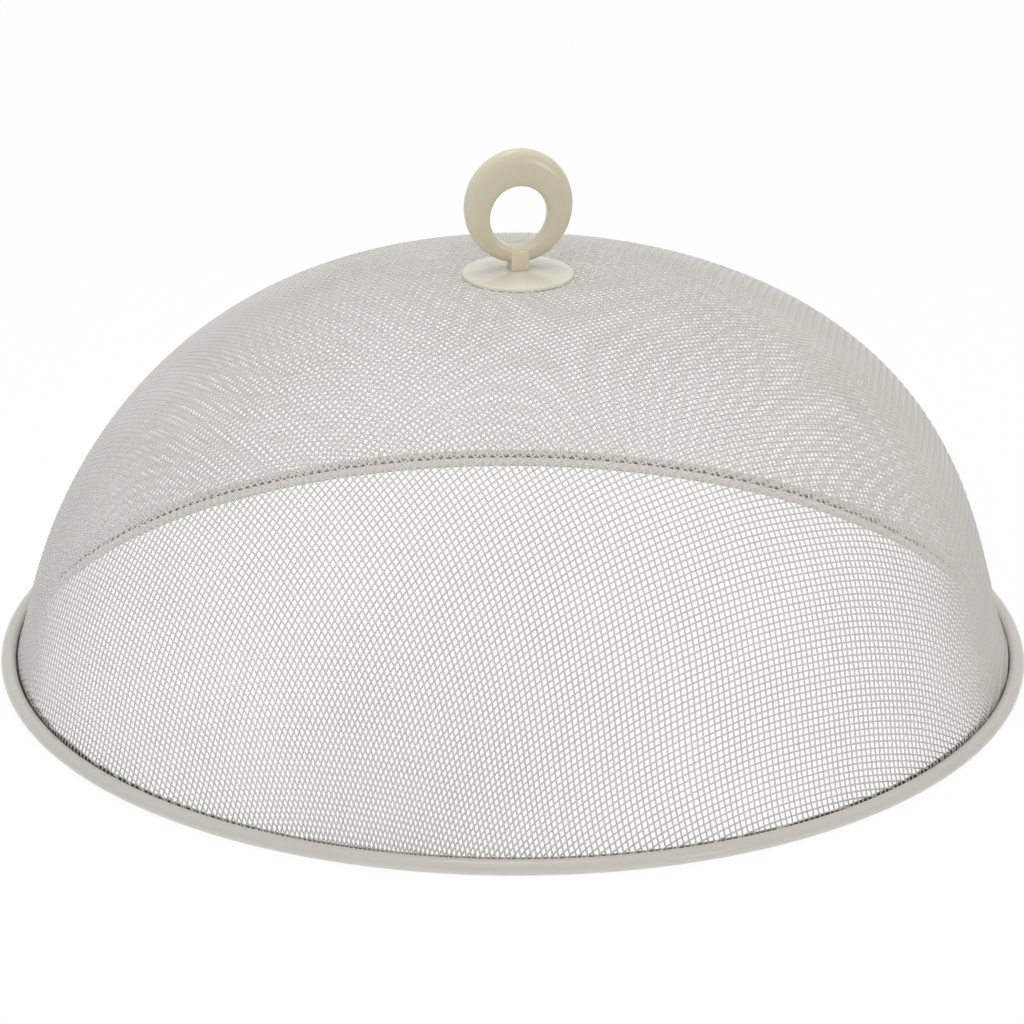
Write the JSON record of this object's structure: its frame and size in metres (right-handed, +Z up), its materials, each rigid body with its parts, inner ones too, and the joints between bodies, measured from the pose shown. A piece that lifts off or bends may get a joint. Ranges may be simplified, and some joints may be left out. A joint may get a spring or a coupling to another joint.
{
  "type": "mesh food cover",
  "caption": "Domed food cover of woven wire mesh with a rolled metal rim and an upright plastic ring to lift it by.",
  "frame": {"origin": "centre of the rim's flat underside, on the surface that the cover stands on", "axes": "+Z up through the knob; the knob ring lies in the XZ plane, with its broad face towards -Y"},
  "size_m": [0.35, 0.35, 0.1761],
  "materials": {
    "mesh_paint": "satin cream paint over steel wire",
    "rim_paint": "semi-gloss cream paint over rolled steel",
    "knob_plastic": "glossy ivory moulded plastic",
    "fastener_steel": "zinc-plated steel"
  },
  "bodies": {
    "root": {"rim_band": "rim_paint", "knob_ring": "knob_plastic", "knob_flange": "knob_plastic", "backing_washer": "fastener_steel", "knob_screw": "fastener_steel", "warp_wire_01": "mesh_paint", "warp_wire_02": "mesh_paint", "warp_wire_03": "mesh_paint", "warp_wire_04": "mesh_paint", "warp_wire_05": "mesh_paint", "warp_wire_06": "mesh_paint", "warp_wire_07": "mesh_paint", "warp_wire_08": "mesh_paint", "warp_wire_09": "mesh_paint", "warp_wire_10": "mesh_paint", "warp_wire_11": "mesh_paint", "warp_wire_12": "mesh_paint", "warp_wire_13": "mesh_paint", "warp_wire_14": "mesh_paint", "warp_wire_15": "mesh_paint", "warp_wire_16": "mesh_paint", "warp_wire_17": "mesh_paint", "warp_wire_18": "mesh_paint", "warp_wire_19": "mesh_paint", "warp_wire_20": "mesh_paint", "warp_wire_21": "mesh_paint", "warp_wire_22": "mesh_paint", "warp_wire_23": "mesh_paint", "warp_wire_24": "mesh_paint", "weft_wire_01": "mesh_paint", "weft_wire_02": "mesh_paint", "weft_wire_03": "mesh_paint", "weft_wire_04": "mesh_paint", "weft_wire_05": "mesh_paint", "weft_wire_06": "mesh_paint", "weft_wire_07": "mesh_paint", "weft_wire_08": "mesh_paint", "weft_wire_09": "mesh_paint", "weft_wire_10": "mesh_paint", "weft_wire_11": "mesh_paint", "weft_wire_12": "mesh_paint", "weft_wire_13": "mesh_paint", "weft_wire_14": "mesh_paint", "weft_wire_15": "mesh_paint", "weft_wire_16": "mesh_paint", "weft_wire_17": "mesh_paint", "weft_wire_18": "mesh_paint", "weft_wire_19": "mesh_paint", "weft_wire_20": "mesh_paint", "weft_wire_21": "mesh_paint", "weft_wire_22": "mesh_paint", "weft_wire_23": "mesh_paint", "weft_wire_24": "mesh_paint"}
  },
  "joints": []
}
